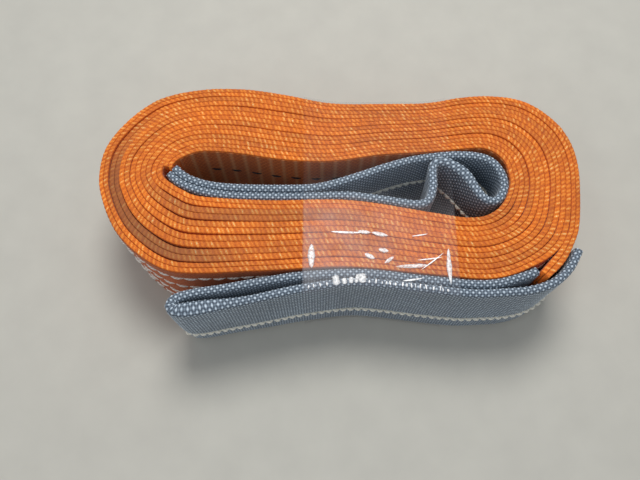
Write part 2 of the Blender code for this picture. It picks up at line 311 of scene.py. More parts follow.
def sleeve_material(name, stops, soil):
    """Plain weave: warp floats read bright, weft floats dark, as in a checker of yarns; the yarn tops
    are painted up to a near-white highlight and the hollows darker, as shade.
    """
    mat, tree, shader = new_material(name)
    uv, u, v = uv_axes(tree)
    tint = node(tree, "ShaderNodeAttribute", attribute_name="soil").outputs["Fac"]
    warp = node(tree, "ShaderNodeTexNoise", Scale=500.0, Detail=2.0)
    tree.links.new(uv, warp.inputs["Vector"])
    jitter = maths(tree, "MULTIPLY_ADD", warp.outputs["Fac"], 0.5, -0.25)
    a = maths(tree, "ADD", maths(tree, "DIVIDE", u, WEAVE), jitter)
    b = maths(tree, "ADD", maths(tree, "DIVIDE", v, WEAVE), jitter)
    parity = maths(tree, "MODULO", maths(tree, "ADD", maths(tree, "ROUND", a),
                                         maths(tree, "ADD", maths(tree, "ROUND", b), 4000.0)), 2.0)
    ca = maths(tree, "COSINE", maths(tree, "MULTIPLY", a, 2 * math.pi))
    cb = maths(tree, "COSINE", maths(tree, "MULTIPLY", b, 2 * math.pi))
    lobe = maths(tree, "MULTIPLY_ADD", maths(tree, "ADD", ca, cb), 0.25, 0.5)
    warp_up = maths(tree, "SUBTRACT", 1.0, parity)
    bright = maths(tree, "MULTIPLY", maths(tree, "POWER", lobe, 0.75),
                   maths(tree, "MULTIPLY_ADD", warp_up, 0.50, 0.44))
    noise = node(tree, "ShaderNodeTexNoise", Scale=1400.0, Detail=3.0, Roughness=0.7)
    tree.links.new(uv, noise.inputs["Vector"])
    height = maths(tree, "ADD", bright, maths(tree, "MULTIPLY_ADD", noise.outputs["Fac"], 0.5, -0.25),
                   clamp=True)
    finish_cloth(tree, shader, height, tint, uv, stops,
                 {"tone": 0.14, "soil": soil, "bump": 0.5, "rough": 0.72, "sheen": 0.25})
    return mat


def thread_material(name, base, dark):
    mat, tree, shader = new_material(name)
    link = tree.links.new
    uv = node(tree, "ShaderNodeUVMap", uv_map="UVMap")
    twist = node(tree, "ShaderNodeTexWave", Scale=420.0, Distortion=1.5, bands_direction="DIAGONAL")
    mix = ramp(tree, ((0.1, dark), (0.6, base)))
    link(uv.outputs["UV"], twist.inputs["Vector"])
    link(twist.outputs["Fac"], mix.inputs["Fac"])
    link(mix.outputs["Color"], shader.inputs["Base Color"])
    lift = node(tree, "ShaderNodeBump", Strength=0.5, Distance=0.0002)
    link(twist.outputs["Fac"], lift.inputs["Height"])
    link(lift.outputs["Normal"], shader.inputs["Normal"])
    shader.inputs["Roughness"].default_value = 0.6
    return mat


def film_material():
    """Clear film: nearly invisible face on, a little brighter where it stands at an angle; this
    brightness and the hazier front of the top are painted sheen standing in for reflected light.
    """
    mat, tree, shader = new_material("clear_film")
    link = tree.links.new
    painted_sheen = node(tree, "ShaderNodeAttribute", attribute_name="crown").outputs["Fac"]
    edge = node(tree, "ShaderNodeLayerWeight", Blend=0.2).outputs["Fresnel"]
    uv, _, _ = uv_axes(tree)
    cloud = node(tree, "ShaderNodeTexNoise", Scale=120.0, Detail=3.0)
    link(uv, cloud.inputs["Vector"])
    patchy = maths(tree, "MULTIPLY_ADD", cloud.outputs["Fac"], 1.6, 0.2)
    alpha = maths(tree, "MULTIPLY_ADD", edge, 0.03, maths(tree, "MULTIPLY", painted_sheen, patchy), clamp=True)
    link(alpha, shader.inputs["Alpha"])
    shader.inputs["Base Color"].default_value = (0.48, 0.48, 0.54, 1)
    shader.inputs["Roughness"].default_value = 0.22
    shader.inputs["Specular IOR Level"].default_value = 0.5
    lift = node(tree, "ShaderNodeBump", Strength=0.12, Distance=0.0004)
    link(cloud.outputs["Fac"], lift.inputs["Height"])
    link(lift.outputs["Normal"], shader.inputs["Normal"])
    return mat


def painted_glint_material():
    """Film folded on itself in a crease, painted as a bright white streak that glows: a painted glint.
    """
    mat, tree, shader = new_material("creased_film_painted_glint")
    uv, _, _ = uv_axes(tree)
    cloud = node(tree, "ShaderNodeTexNoise", Scale=900.0, Detail=2.0)
    tree.links.new(uv, cloud.inputs["Vector"])
    edge = node(tree, "ShaderNodeAttribute", attribute_name="crown").outputs["Fac"]
    patchy = maths(tree, "MULTIPLY_ADD", cloud.outputs["Fac"], 2.4, -0.45, clamp=True)
    tree.links.new(maths(tree, "MULTIPLY", edge, patchy), shader.inputs["Alpha"])
    shader.inputs["Base Color"].default_value = (1.0, 1.0, 1.0, 1)
    shader.inputs["Roughness"].default_value = 0.12
    # The emission makes the streaks glow: painted glints.
    shader.inputs["Emission Color"].default_value = (1.0, 1.0, 1.0, 1)
    shader.inputs["Emission Strength"].default_value = 0.30
    return mat


# Orange ramps: painted shade in the yarn hollows up to a painted highlight on the yarn tops; the colour
# after each ramp is the painted shade of the sunk turn, and for the face the lighter tint of its
# columns.
ORANGE = webbing_material("webbing_cloth",
                          ((0.0, (0.24, 0.036, 0.004)), (0.3, (0.66, 0.13, 0.008)),
                           (0.6, (0.95, 0.25, 0.014)), (0.8, (1.0, 0.47, 0.10)),
                           (0.95, (1.0, 0.80, 0.48))), (0.20, 0.085, 0.035), 0.9)
ORANGE_FACE = webbing_material("webbing_face_cloth",
                               ((0.0, (0.30, 0.045, 0.006)), (0.4, (0.60, 0.12, 0.014)),
                                (0.8, (0.82, 0.22, 0.035)), (1.0, (0.95, 0.50, 0.20))),
                               (0.78, 0.40, 0.18), 0.0)
# Grey ramp: painted shade in the yarn hollows up to a near-white painted highlight on the yarn tops.
GREY = sleeve_material("sleeve_cloth",
                       ((0.0, (0.050, 0.068, 0.096)), (0.3, (0.125, 0.163, 0.212)),
                        (0.6, (0.33, 0.42, 0.52)), (0.85, (0.68, 0.79, 0.90)),
                        (1.0, (0.90, 0.97, 1.0))), (0.20, 0.22, 0.22))
WHITE = thread_material("seam_thread", (1.0, 0.98, 0.88), (0.80, 0.78, 0.66))
STITCH = thread_material("body_stitch_thread", (1.0, 0.96, 0.90), (0.74, 0.66, 0.58))
BLACK = thread_material("marker_yarn", (0.03, 0.022, 0.02), (0.008, 0.006, 0.006))
FILM = film_material()
PAINTED_GLINT = painted_glint_material()


def finish_piece(obj, material, body="coil", node_names=()):
    obj.data.materials.append(material)
    if body:
        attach(obj, body)
    if node_names:
        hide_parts(*node_names)
    return obj


# ---------------------------------------------------------------- body webbing

outer_raw, _ = centre_line("body_ply_outer")
inner_raw, _ = centre_line("body_ply_inner")


def from_root(line):
    """The line running from the end nearer the middle of the coil."""
    return line if np.linalg.norm(line[0]) < np.linalg.norm(line[-1]) else line[::-1]


outer_raw, inner_raw = from_root(outer_raw), from_root(inner_raw)
pairs = min(len(outer_raw), len(inner_raw))
STEP = 0.42 * MM
body = smooth((outer_raw[:pairs] + inner_raw[:pairs]) / 2, STEP)
body_run = run_of(body)
body_length = float(body_run[-1])
body_normals = normals(body)


def lefts_of(line, run):
    """Run length where each turn passes its left end."""
    x = line[:, 0]
    ends = [i for i in range(300, len(x) - 300)
            if x[i] < -0.05 and x[i] == x[max(0, i - 300):i + 300].min()]
    return [float(run[i]) for i in ends]


LEFTS = lefts_of(body, body_run)


def half_space(side):
    """How far the body may reach to one side before it meets the next turn."""
    thin = even(body, 1.0 * MM)
    run, side_way = run_of(thin), normals(thin) * side
    out = np.empty(len(thin))
    for i, p in enumerate(thin):
        way = thin - p
        d = np.linalg.norm(way, axis=1)
        facing = way @ side_way[i]
        d[(np.abs(run - run[i]) < 60 * MM) | (facing < 0.8 * d)] = 1.0
        out[i] = d.min()
    last = run > run[-1] - 45 * MM
    alone = out > np.where(last, 7.2, 6.4) * MM
    widest = np.where(last, 3.6, 2.75) * MM
    share = np.where(last, np.maximum(out / 2, out - 2.9 * MM), out / 2) - 0.06 * MM
    half = np.where(alone, 1.55 * MM, np.clip(share, 1.5 * MM, widest))
    kernel = np.ones(15) / 15
    half = np.convolve(np.pad(half, 7, mode="edge"), kernel, mode="valid")
    return np.interp(body_run, run, half)


reach_out, reach_in = half_space(1), half_space(-1)
low_z, high_z = (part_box("body_ply_outer")[k][2] for k in (0, 1))
height = wobble(len(body), 70 * MM, STEP, 5) * 0.4 * MM - 0.3 * MM
sunk = np.exp(-((body_run - (LEFTS[4] - 0.028)) / 0.045) ** 4)
height -= 1.1 * MM * sunk
# The sunk turn is also painted darker and browner, as shade in its recess; a weaker darker patch lies
# on an inner turn.
painted_shade_and_dark_patch = 0.68 * sunk + 0.35 * np.exp(-((body_run - (LEFTS[1] - 0.055)) / 0.05) ** 4)


def ply(name, side, node_name, seed):
    """One ply of the body: a strip whose edges show the weft loops of the selvage; loop tops are
    painted lighter, as highlight, and the sides of the ply darker, as shade.
    """
    middle = (reach_out - reach_in) / 2
    thick = (reach_out + reach_in) / 2 - 0.03 * MM
    mid = body + body_normals * (middle + side * (thick + 0.06 * MM) / 2)[:, None]
    s = run_of(mid)
    n = body_normals
    make = np.random.default_rng(seed)
    count = int(s[-1] / SELVAGE) + 4
    strength = make.uniform(0.45, 1.2, count)
    late = make.uniform(-0.16, 0.16, count)
    phase_noise = wobble(len(mid), 25 * MM, STEP, seed + 1) * 0.3 + (0.5 if side > 0 else 0.0)
    round_z = 0.6 * MM
    rows, uvs, crowns = [], [], []
    arcs = ((np.linspace(0, math.pi, 9), high_z + height - round_z, 1.0),
            (np.linspace(math.pi, 2 * math.pi, 4), low_z + round_z, 0.6))
    for angles, centre_z, lift in arcs:
        for phi in angles:
            a, up = -math.cos(phi), math.sin(phi)
            square = 0.15 if a * side < 0 else 0.5
            flat_a = math.copysign(abs(a) ** 0.7, a)
            flat_up = math.copysign(abs(up) ** square, up)
            phase = s / SELVAGE + 0.30 * flat_a + phase_noise
            which = np.clip(np.round(phase).astype(int), 0, count - 1)
            wave = 0.5 + 0.5 * np.cos(2 * math.pi * (phase + late[which]))
            crown = wave ** 1.2 * strength[which]
            edge = abs(flat_up)
            bump = 0.26 * MM * lift * (crown - 0.55)
            across = flat_a * (thick / 2) + flat_a * bump * 0.25
            crown_z = centre_z + flat_up * round_z + bump * edge * math.copysign(1, up)
            rows.append(np.column_stack([mid + n * across[:, None], crown_z]))
            uvs.append(np.column_stack([s, np.full_like(s, 0.03 + 0.0012 * phi)]))
            crowns.append(0.22 + 0.10 * edge + 0.72 * (crown - 0.2) * (1 - 0.8 * abs(flat_a) ** 2.5))
        rows.append(np.column_stack([mid + n * (a * thick / 2)[:, None],
                                     np.full_like(s, (low_z + high_z) / 2)]))
        uvs.append(np.column_stack([s, np.full_like(s, 0.02)]))
        crowns.append(np.full_like(s, 0.3))
    rings = np.stack(rows, axis=1)
    soil = np.repeat(painted_shade_and_dark_patch[:, None], rings.shape[1], axis=1)
    obj = grid_object(name, rings, np.stack(uvs, axis=1), crown=np.stack(crowns, axis=1), soil=soil)
    return finish_piece(obj, ORANGE,
                        node_names=[node_name])


def woven_face(name, start, stop, side, seed, column=0.0):
    """Face cloth over part of the body: warp ribs crossed by weft, as a thin skin; the rib tops are
    painted lighter, as highlight.
    """
    keep = (body_run >= start) & (body_run <= stop)
    reach = reach_out if side > 0 else reach_in
    base = (body + body_normals * (side * (reach - 0.05 * MM))[:, None])[keep]
    s_all = run_of(base)
    rib, weft = 1.4 * MM, 2.2 * MM
    s = np.arange(0, s_all[-1], weft / 4)
    line = np.column_stack([np.interp(s, s_all, base[:, k]) for k in (0, 1)])
    n = normals(line) * side
    tops = np.interp(s, s_all, height[keep]) + high_z - 0.8 * MM
    z = np.arange(low_z + 0.9 * MM, high_z - 0.8 * MM, rib / 3)
    zz = z[0] + (z - z[0])[None, :] * ((tops[:, None] - z[0]) / (z[-1] - z[0]))
    ribs = 0.5 + 0.5 * np.cos(2 * math.pi * z / rib)
    odd = np.floor(z / rib + 0.5).astype(int) % 2
    floats = 0.5 + 0.5 * np.cos(2 * math.pi * (s[:, None] / weft + 0.5 * odd[None, :]))
    crown = ribs[None, :] ** 0.7 * (0.3 + 0.7 * floats)
    lift = (0.05 + 0.28 * crown) * MM
    bright = np.zeros_like(crown)
    if column:
        place = s / column + 0.08 * wobble(len(s), 20 * MM, weft / 4, seed)
        bands = (0.5 + 0.5 * np.cos(2 * math.pi * place)) ** 6
        bright = bands[:, None] * ribs[None, :] ** 0.5 * 0.75
        lift = lift + 0.12 * MM * bands[:, None] * ribs[None, :]
    front = np.stack([line[:, None, 0] + n[:, None, 0] * lift,
                      line[:, None, 1] + n[:, None, 1] * lift, zz], axis=-1)
    inside = line - n * 0.3 * MM
    back = np.stack([np.repeat(inside[:, None, 0], 2, axis=1),
                     np.repeat(inside[:, None, 1], 2, axis=1), zz[:, [-1, 0]]], axis=-1)
    rings = np.concatenate([front, back], axis=1)
    uvs = np.stack([np.repeat(s[:, None], rings.shape[1], axis=1), rings[..., 2]], axis=-1)
    blank = np.full((len(s), 2), 0.2)
    crown = 0.12 + (0.7 if column else 0.28) * crown
    obj = grid_object(name, rings, uvs, crown=np.concatenate([crown, blank], axis=1),
                      soil=np.concatenate([bright, 0 * blank], axis=1))
    return finish_piece(obj, ORANGE_FACE)


def stitches(name, line, side, stand, z, stitch, gap, radius, material, slot, wave=0.0, seed=0,
             tall=1.0):
    """Row of separate thread stitches lying on a cloth face."""
    make = np.random.default_rng(seed)
    run = run_of(line)
    n = normals(line) * side
    verts, faces, uvs = [], [], []
    angles = np.linspace(0, 2 * math.pi, 8)[:-1]
    m, rings = len(angles), 9
    count = max(1, int(round(run[-1] / (stitch + gap))))
    pitch = run[-1] / count
    for start in np.arange(count) * pitch:
        length = (pitch - gap) * make.uniform(0.92, 1.0)
        zc, tip = z + make.uniform(-1, 1, 2) * wave
        base = len(verts)
        for k in range(rings):
            w = k / (rings - 1)
            s = start + length * w
            arch = math.sin(math.pi * min(max(w, 0.05), 0.95))
            fat = radius * (0.35 + 0.65 * arch ** 0.5)
            dip = stand - radius * 0.9 * (1 - arch) ** 1.5
            px, py = (np.interp(s, run, line[:, q]) for q in (0, 1))
            nx, ny = (np.interp(s, run, n[:, q]) for q in (0, 1))
            for t in angles:
                out = dip + fat * math.cos(t)
                verts.append((px + nx * out, py + ny * out,
                              zc + (tip - zc) * w + fat * tall * math.sin(t)))
                uvs.append((s, t * radius))
        for k in range(rings - 1):
            for q in range(m):
                r = (q + 1) % m
                faces.append((base + k * m + q, base + k * m + r,
                              base + (k + 1) * m + r, base + (k + 1) * m + q))
        faces.append([base + q for q in range(m)][::-1])
        faces.append([base + (rings - 1) * m + q for q in range(m)])
    obj = mesh_object(name, verts, faces, uvs)
    obj.data.materials.append(material)
    return obj


ply_outer = ply("body_webbing_outer_ply", 1, "body_ply_outer", 11)
ply_inner = ply("body_webbing_inner_ply", -1, "body_ply_inner", 23)
OUTSIDE_FROM = LEFTS[5] - 0.26
face_outer = woven_face("body_outer_face_weave", OUTSIDE_FROM, body_length - 0.004, 1, 31)
face_inner = woven_face("body_hole_face_weave", 0.006, 0.36, -1, 37, column=5.6 * MM)

rows_keep = (body_run > OUTSIDE_FROM) & (body_run < body_length - 0.02)
outside = (body + body_normals * reach_out[:, None])[rows_keep][::5]
for i in range(4):
    cad = f"body_stitch_row_{i + 1}"
    row_z = (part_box(cad)[0][2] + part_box(cad)[1][2]) / 2
    row = stitches(f"body_stitches_{i + 1}", outside, 1, 0.32 * MM, row_z, 5.6 * MM, 0.2 * MM,
                   0.52 * MM, STITCH, "thread_white", 0.6 * MM, 50 + i, tall=1.25)
    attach(row, "coil")
    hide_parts(cad)

tracer_x = [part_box("body_tracer_yarn")[k][0] for k in (0, 1)]
first_third = body_run < 0.3
hole_wall = (body - body_normals * reach_in[:, None])[first_third]
over = (hole_wall[:, 0] > tracer_x[0]) & (hole_wall[:, 0] < tracer_x[1]) & (hole_wall[:, 1] > 0.012)
tracer_z = (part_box("body_tracer_yarn")[0][2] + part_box("body_tracer_yarn")[1][2]) / 2
tracer = stitches("body_marker_dashes", hole_wall[over][::5], -1, 0.22 * MM, tracer_z, 4.6 * MM,
                  4.5 * MM, 0.42 * MM, BLACK, "yarn_black", 0.1 * MM, 61, tall=1.3)
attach(tracer, "coil")
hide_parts("body_tracer_yarn")


# ---------------------------------------------------------------- eyes

def joined(nodes_in_order):
    """One line through the centre lines of several nodes, end to end."""
    lines = [centre_line(k)[0] for k in nodes_in_order]
    out = lines[0]
    if np.linalg.norm(out[0] - lines[1][0]) < np.linalg.norm(out[-1] - lines[1][0]) and \
            np.linalg.norm(out[0] - lines[1][-1]) < np.linalg.norm(out[-1] - lines[1][-1]):
        out = out[::-1]
    for line in lines[1:]:
        if np.linalg.norm(line[-1] - out[-1]) < np.linalg.norm(line[0] - out[-1]):
            line = line[::-1]
        out = np.vstack([out, line])
    keep = [0]
    for i in range(1, len(out)):
        if np.linalg.norm(out[i] - out[keep[-1]]) > 0.8 * MM:
            keep.append(i)
    return out[keep]


def tube_outline(inset, count, tall):
    """Points round a flat tube with rounded edges: side offset, height, and outward direction."""
    r = SLEEVE_THICK / 2 - inset
    straight = tall - SLEEVE_THICK
    total = 2 * straight + 2 * math.pi * r
    out = []
    for w in np.arange(count) * total / count:
        if w < straight:
            out.append((r, SLEEVE_THICK / 2 + w, 1.0, 0.0))
        elif w < straight + math.pi * r:
            t = (w - straight) / r
            out.append((r * math.cos(t), SLEEVE_THICK / 2 + straight + r * math.sin(t),
                        math.cos(t), math.sin(t)))
        elif w < 2 * straight + math.pi * r:
            out.append((-r, SLEEVE_THICK / 2 + 2 * straight + math.pi * r - w, -1.0, 0.0))
        else:
            t = math.pi + (w - 2 * straight - math.pi * r) / r
            out.append((r * math.cos(t), SLEEVE_THICK / 2 + r * math.sin(t),
                        math.cos(t), math.sin(t)))
    return np.array(out), total


def slant(lean, tuck, t):
    """Sideways shift of an eye at a share t of its height, from the shifts of its two edges."""
    return lean * t ** 2 + tuck * (1 - t) ** 2


COARSE = 6      # rows of cloth to one row of the lining
LINING = 4      # yarn points to one point of the lining


def sleeves(names, line, cuts, low, high, seed, lean, fat, tuck):
    """Flat tube of plain-woven cloth along a line, as one or more lengths of it.

    lean and tuck are the sideways shifts of its top and bottom edges at each point, and fat is
    the extra half thickness of its top.
    """
    s_all = run_of(line)
    cells = 2 * round(tube_outline(0, 8, high - low)[1] / WEAVE / 2)
    m = 2 * cells
    n_rows = COARSE * round(s_all[-1] / (WEAVE / 2) / COARSE)
    s = np.linspace(0, s_all[-1], n_rows + 1)
    lean, fat, tuck = (np.interp(s, s_all, values) for values in (lean, fat, tuck))
    line = np.column_stack([np.interp(s, s_all, line[:, k]) for k in (0, 1)])
    n = normals(line)
    make = np.random.default_rng(seed)
    i, j = np.arange(n_rows + 1)[:, None], np.arange(m)[None, :]
    crown = ((i % 2) == 0) & ((j % 2) == 0)
    shoulder = (i % 2) != (j % 2)
    over = crown & ((i // 2 + j // 2) % 2 == 0)
    lift = np.where(over, 0.26, np.where(crown, 0.10, np.where(shoulder, 0.05, -0.06))) * MM
    lift = lift * make.uniform(0.75, 1.2, lift.shape)
    waves = wobble(n_rows + 1, 15 * MM, WEAVE / 2, seed + 2)[:, None] * 0.22 * MM
    crest = wobble(n_rows + 1, 20 * MM, WEAVE / 2, seed + 3)[:, None] * 0.45 * MM

    def layer(inset, count, rows, bumps):
        shape, _ = tube_outline(inset, count, high - low)
        side, z, out_side, out_up = (shape[None, :, k] for k in range(4))
        t = z / (high - low)
        side = side + out_side * (bumps + waves[rows] * np.sin(math.pi * t) ** 2)
        side = side + slant(lean[rows, None], tuck[rows, None], t) + out_side * fat[rows, None] * t ** 3
        up = low + z + out_up * bumps + crest[rows] * t ** 4
        p, q = line[rows][:, None, :], n[rows][:, None, :]
        return np.concatenate([p + q * side[..., None], up[..., None]], axis=-1)

    outer = layer(0.0, m, np.arange(n_rows + 1), lift)
    lining_rows = np.arange(0, n_rows + 1, COARSE)
    lining = layer(SLEEVE_CLOTH, m // LINING, lining_rows, 0.0)
    made = []
    for name, first, last in zip(names, [0.0] + cuts, cuts + [s_all[-1]]):
        a, b = (COARSE * round(v / s_all[-1] * n_rows / COARSE) for v in (first, last))
        made.append(tube_length(name, outer[a:b + 1], lining[a // COARSE:b // COARSE + 1], a))
    return made, m * WEAVE / 2, [s[COARSE * round(c / s_all[-1] * n_rows / COARSE)] for c in cuts]


def tube_length(name, outer, lining, first_row):
    """Closed mesh of one length of sleeve from its outside and its lining."""
    rows, m = outer.shape[:2]
    inner_rows, k = lining.shape[:2]
    base = rows * m
    faces = [(r * m + q, r * m + (q + 1) % m, (r + 1) * m + (q + 1) % m, (r + 1) * m + q)
             for r in range(rows - 1) for q in range(m)]
    faces += [(base + r * k + (q + 1) % k, base + r * k + q,
               base + (r + 1) * k + q, base + (r + 1) * k + (q + 1) % k)
              for r in range(inner_rows - 1) for q in range(k)]
    for ring, inside, way in ((0, base, -1), ((rows - 1) * m, base + (inner_rows - 1) * k, 1)):
        for q in range(k):
            rim = [ring + (LINING * q + e) % m for e in range(LINING + 1)]
            faces.append((rim + [inside + (q + 1) % k, inside + q])[::way])
    u = (first_row + np.arange(rows)) * WEAVE / 2
    v = np.arange(m) * WEAVE / 2
    uv = [np.stack(np.meshgrid(u, v, indexing="ij"), axis=-1).reshape(-1, 2),
          np.stack(np.meshgrid(u[::COARSE], v[::LINING], indexing="ij"), axis=-1).reshape(-1, 2)]
    verts = np.vstack([outer.reshape(-1, 3), lining.reshape(-1, 3)])
    obj = mesh_object(name, verts, faces, np.vstack(uv), soil=np.zeros(len(verts)))
    close_uv_seam(obj.data, m * WEAVE / 2)
    obj.data.materials.append(GREY)
    return obj


def close_uv_seam(mesh, total):
    """Faces that join the last column to the first carry on the pattern instead of jumping back."""
    layer = mesh.uv_layers["UVMap"].data
    uv = np.empty(len(layer) * 2, np.float32)
    layer.foreach_get("uv", uv)
    uv = uv.reshape(-1, 2)
    starts = np.empty(len(mesh.polygons), np.int32)
    mesh.polygons.foreach_get("loop_start", starts)
    low, high = (f.reduceat(uv[:, 1], starts) for f in (np.minimum, np.maximum))
    sizes = np.diff(np.append(starts, len(uv)))
    jumps = np.repeat(high - low > total / 2, sizes)
    uv[jumps & (uv[:, 1] < total / 2), 1] += total
    layer.foreach_set("uv", uv.ravel())


def plain_web(name, line, low, high, thick, lean, tuck):
    """Strip of webbing inside a sleeve; only its ends show. lean and tuck are as for sleeves."""
    whole = even(np.column_stack([line, lean, tuck]), 1.0 * MM)
    line, lean, tuck = whole[:, :2], whole[:, 2], whole[:, 3]
    n = normals(line)
    s = run_of(line)
    corners = [(thick / 2, low + (high - low) * k / 6) for k in range(7)]
    corners += [(-thick / 2, z) for _, z in corners[::-1]]
    rings = []
    for a, z in corners:
        shift = a + slant(lean, tuck, (z - low) / (high - low))
        rings.append(np.column_stack([line + n * shift[:, None], np.full(len(line), z)]))
    rings = np.stack(rings, axis=1)
    uvs = np.stack([np.column_stack([s, np.full_like(s, z)]) for _, z in corners], axis=1)
    even_tone = np.full(rings.shape[:2], 0.5)
    obj = grid_object(name, rings, uvs, crown=even_tone, soil=0 * even_tone)
    obj.data.materials.append(ORANGE)
    return obj


def bump_at(line, centre, width, size):
    """Smooth hump along a line about the point nearest to centre."""
    run = run_of(line)
    at = run[np.argmin(np.linalg.norm(line - np.array(centre), axis=1))]
    return size * np.exp(-((run - at) / width) ** 2)


# inner eye
inner_line = centre_line("inner_eye_sleeve")[0]
if inner_line[0][1] < inner_line[-1][1]:
    inner_line = inner_line[::-1]
inner_line = smooth(inner_line, 0.5 * MM)
sl_lo, sl_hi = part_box("inner_eye_sleeve")[0][2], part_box("inner_eye_sleeve")[1][2]
web_lo, web_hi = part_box("inner_eye_webbing")[0][2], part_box("inner_eye_webbing")[1][2]
lean = (bump_at(inner_line, (0.050, 0.0080), 0.011, -3.9 * MM)
        + bump_at(inner_line, inner_line[0], 0.012, -0.5 * MM))
fat = bump_at(inner_line, (0.050, 0.0080), 0.010, 0.6 * MM)
(inner_sleeve,), around, _ = sleeves(["inner_eye_sleeve_cloth"], inner_line, [], sl_lo, sl_hi, 71,
                                     lean, fat, 0 * lean)
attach(inner_sleeve, "coil")
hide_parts("inner_eye_sleeve")
inner_web = plain_web("inner_eye_web", inner_line, web_lo, web_hi, 1.2 * MM, lean, 0 * lean)
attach(inner_web, "coil")
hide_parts("inner_eye_webbing")

cad_in, cad_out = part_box("inner_eye_seam_inside"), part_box("inner_eye_seam_outside")
right_end = int(np.argmax(inner_line[:, 0]))
start_in = int(np.argmax(inner_line[:, 0] > cad_in[0][0]))
after = np.arange(right_end, len(inner_line))
fold_start = int(after[np.argmax(inner_line[after, 0] < cad_out[1][0] + 0.5 * MM)])
fold_stop = int(after[np.argmax(inner_line[after, 0] < cad_out[0][0] + 0.5 * MM)])
seam_z = (cad_in[0][2] + cad_in[1][2]) / 2
shift = slant(lean, 0, (seam_z - sl_lo) / (sl_hi - sl_lo))[:, None]
offset_in = inner_line + normals(inner_line) * (shift - SLEEVE_THICK / 2)
offset_out = inner_line + normals(inner_line) * (shift + SLEEVE_THICK / 2)
SEAM_STITCH = (3.4 * MM, -0.1 * MM, 0.80 * MM)
seam_in = stitches("inner_eye_seam_inner_side", offset_in[start_in:fold_start], -1, 0.45 * MM, seam_z,
                   *SEAM_STITCH, WHITE, "thread_white", 0.15 * MM, 81, tall=1.3)
seam_out = stitches("inner_eye_seam_outer_side", offset_out[fold_start:fold_stop], 1, 0.45 * MM,
                    seam_z, *SEAM_STITCH, WHITE, "thread_white", 0.15 * MM, 83, tall=1.3)
for obj, cad in ((seam_in, "inner_eye_seam_inside"), (seam_out, "inner_eye_seam_outside")):
    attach(obj, "coil")
    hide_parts(cad)

# outer eye
parts = ("held_far", "mid_far", "end", "mid_near", "held_near")
outer_line = smooth(joined(["outer_eye_sleeve_" + p for p in parts]), 0.5 * MM)
tip = int(np.argmin(outer_line[:, 0]))
pivots = {j["name"]: j["pos_m"] for j in frame["joints"]}
one, two = pivots["outer_eye_swing"], pivots["outer_eye_tip_bend"]
middle_x = (one[0] + two[0]) / 2
sl_lo, sl_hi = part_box("outer_eye_sleeve_end")[0][2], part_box("outer_eye_sleeve_end")[1][2]
web_lo, web_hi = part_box("outer_eye_webbing_end")[0][2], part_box("outer_eye_webbing_end")[1][2]
outer_run = run_of(outer_line)
cut_far = float(outer_run[np.argmax(outer_line[:, 0] < middle_x)])
cut_near = float(outer_run[tip + int(np.argmax(outer_line[tip:, 0] > middle_x))])


def bend(obj):
    """Bake the placement of a piece of the outer eye into its mesh; it is not bent about a pivot."""
    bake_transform(obj)


LABELS = ("far", "end", "near")
REPLACED = {"far": ("held_far", "mid_far"), "near": ("held_near", "mid_near"), "end": ("end",)}
tip_place = tuple(outer_line[tip] + np.array((0.010, -0.0035)))
far_place = tuple(outer_line[tip] + np.array((0.014, 0.0035)))
fat = bump_at(outer_line, tip_place, 0.013, 1.3 * MM)
lean = bump_at(outer_line, tip_place, 0.015, 1.5 * MM) + bump_at(outer_line, far_place, 0.012, 0.5 * MM)
tuck = bump_at(outer_line, tip_place, 0.030, 2.4 * MM)
tuck[:tip] = tuck[tip] * np.exp(-((outer_run[:tip] - outer_run[tip]) / (4 * MM)) ** 2)
covers, around, cuts = sleeves([f"outer_eye_sleeve_{k}_cloth" for k in LABELS], outer_line,
                               [cut_far, cut_near], sl_lo, sl_hi, 91, lean, fat, tuck)
seam_z = sum(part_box("outer_eye_seam_held")[k][2] for k in (0, 1)) / 2
edges = [0.0] + cuts + [float(outer_run[-1])]
for label, cover, first, last in zip(LABELS, covers, edges, edges[1:]):
    here = (outer_run >= first) & (outer_run <= last)
    line = outer_line[here]
    strap = plain_web(f"outer_eye_web_{label}", line, web_lo, web_hi, 1.4 * MM, lean[here],
                      tuck[here])
    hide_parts(*("outer_eye_sleeve_" + p for p in REPLACED[label]))
    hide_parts(*("outer_eye_webbing_" + p for p in REPLACED[label]))
    bend(cover)
    bend(strap)
    if label != "far":
        shift = slant(lean, tuck, (seam_z - sl_lo) / (sl_hi - sl_lo))[here][:, None]
        side_line = line + normals(line) * (shift - SLEEVE_THICK / 2)
        seam = stitches(f"outer_eye_seam_{label}_thread", side_line, -1, 0.45 * MM, seam_z,
                        *SEAM_STITCH, WHITE, "thread_white", 0.15 * MM,
                        {"near": 103, "end": 107}[label], tall=1.3)
        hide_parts(*(("outer_eye_seam_end",) if label == "end"
                            else ("outer_eye_seam_held", "outer_eye_seam_mid")))
        bend(seam)


# ---------------------------------------------------------------- clear film

def reach_y(line, x, pick):
    """Furthest Y of a line near a place along X."""
    return pick(line[np.abs(line[:, 0] - x) < 1.0 * MM][:, 1])


FILM_CLEAR = 2.6 * MM       # from the middle line of the outermost strap to the film
FILM_THIN = 0.08 * MM


